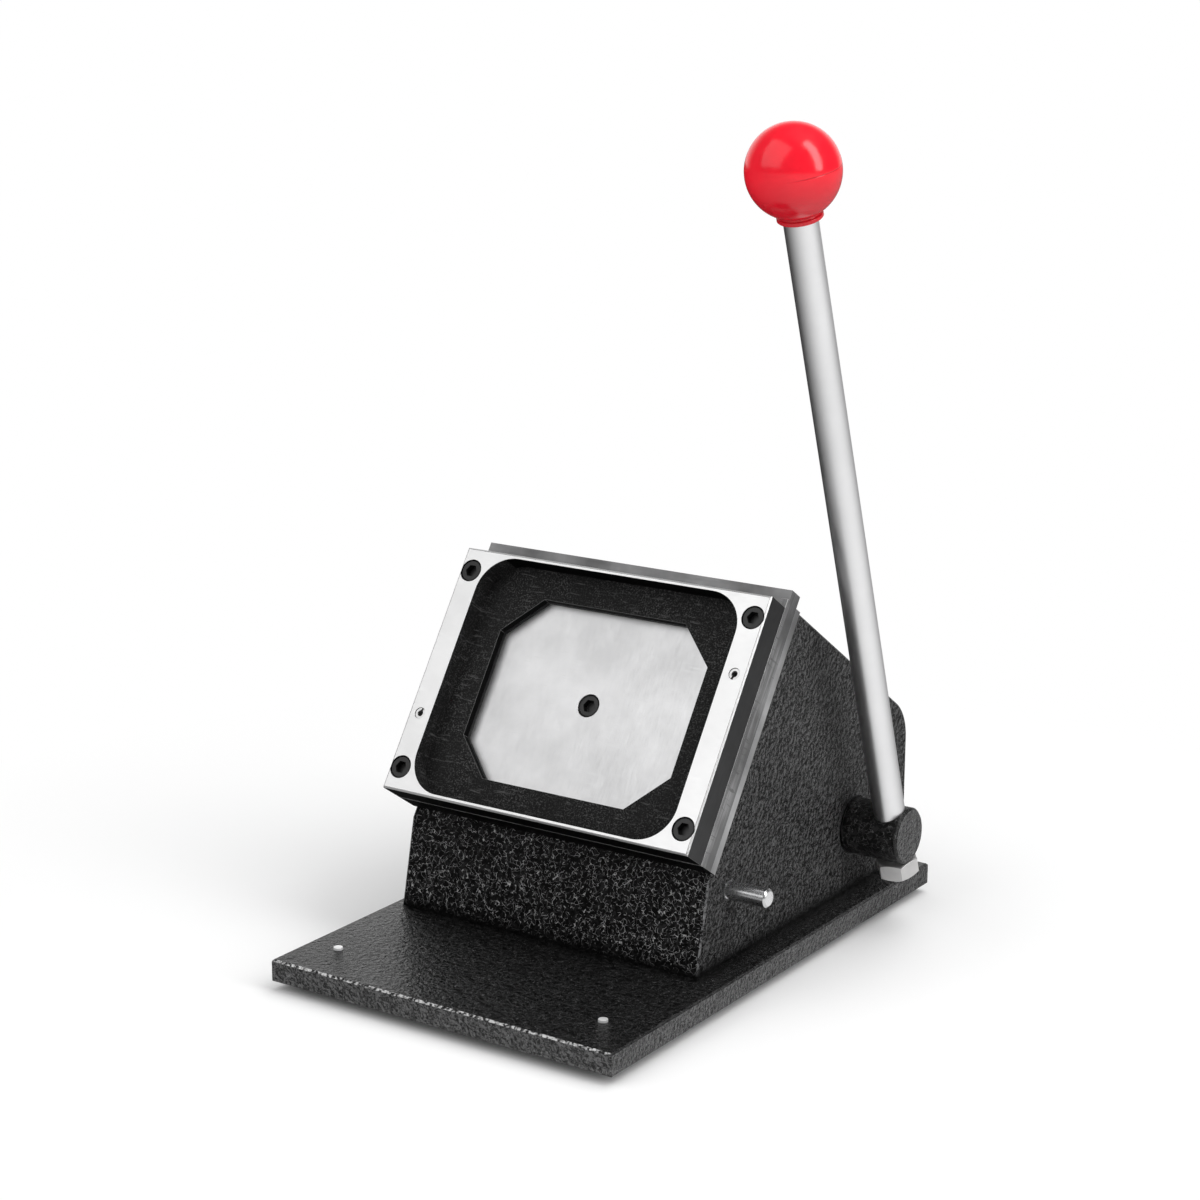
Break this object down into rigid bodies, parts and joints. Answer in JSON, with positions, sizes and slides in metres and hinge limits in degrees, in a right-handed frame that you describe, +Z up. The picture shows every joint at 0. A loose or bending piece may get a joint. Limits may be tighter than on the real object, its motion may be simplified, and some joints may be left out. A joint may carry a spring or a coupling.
{
  "type": "stand cutter press",
  "caption": "Bench stand cutter: a ball-ended lever turns a cam that drives an octagonal punch through a sloping die plate on a boxed stand, to cut paper blanks for badges.",
  "frame": {"origin": "on the bench, below the middle of the whole press", "axes": "+Z up, +X to the right seen from the front, -Y towards the user; the lever's shaft runs along X"},
  "size_m": [0.195, 0.259, 0.3573],
  "materials": {
    "hammertone": "black hammertone paint",
    "ground_steel": "ground face, blackened pocket",
    "grey_steel": "dull grey",
    "bright_steel": "bright satin",
    "zinc_steel": "zinc plated, light grey",
    "machine_steel": "machined, oiled",
    "black_oxide": "black oxide",
    "spring_steel": "oiled spring wire",
    "bronze": "bearing bronze",
    "red_knob": "glossy red moulded plastic",
    "foot_rubber": "matte black"
  },
  "bodies": {
    "stand": {"base_plate": "hammertone", "rubber_feet": "foot_rubber", "foot_screws": "zinc_steel", "body_housing": "hammertone", "body_screws": "zinc_steel", "mounting_frame": "bright_steel", "back_plate": "grey_steel", "left_spacer": "bright_steel", "right_spacer": "bright_steel", "die_plate": "ground_steel", "die_screws": "black_oxide", "die_dowels": "bright_steel", "ram_guide_block": "machine_steel", "guide_bush": "bronze", "left_shaft_bush": "bronze", "right_shaft_bush": "bronze", "stop_pin": "bright_steel", "stop_pin_screw": "black_oxide", "return_spring": "spring_steel"},
    "ram": {"punch_plate": "ground_steel", "punch_screw": "black_oxide", "punch_dowels": "bright_steel", "ram": "machine_steel", "spring_collar": "machine_steel", "ram_snap_ring": "black_oxide", "follower_pad": "machine_steel", "follower_screw": "black_oxide"},
    "lever": {"cross_shaft": "machine_steel", "cam": "machine_steel", "cam_key": "machine_steel", "cam_screw": "black_oxide", "shaft_collar": "machine_steel", "collar_screw": "black_oxide", "lever_hub": "hammertone", "lever_rod": "bright_steel", "lock_nut": "zinc_steel", "ball_knob": "red_knob", "knob_insert": "bronze"}
  },
  "joints": [
    {"name": "lever_swing", "type": "hinge", "parent": "stand", "child": "lever", "pos_m": [0, 0.0821, 0.043], "axis": [1, 0, 0], "range_deg": [0, 64.5]},
    {"name": "ram_slide", "type": "slide", "parent": "stand", "child": "ram", "axis": [0, -0.829, 0.5592], "range_m": [0, 0.0091], "stiffness_N_per_m": 5500, "springref_m": -0.02, "deforming": ["return_spring"]}
  ],
  "couplings": [
    {"joint": "ram_slide", "follows": "lever_swing", "m_per_rad": 0.008}
  ]
}
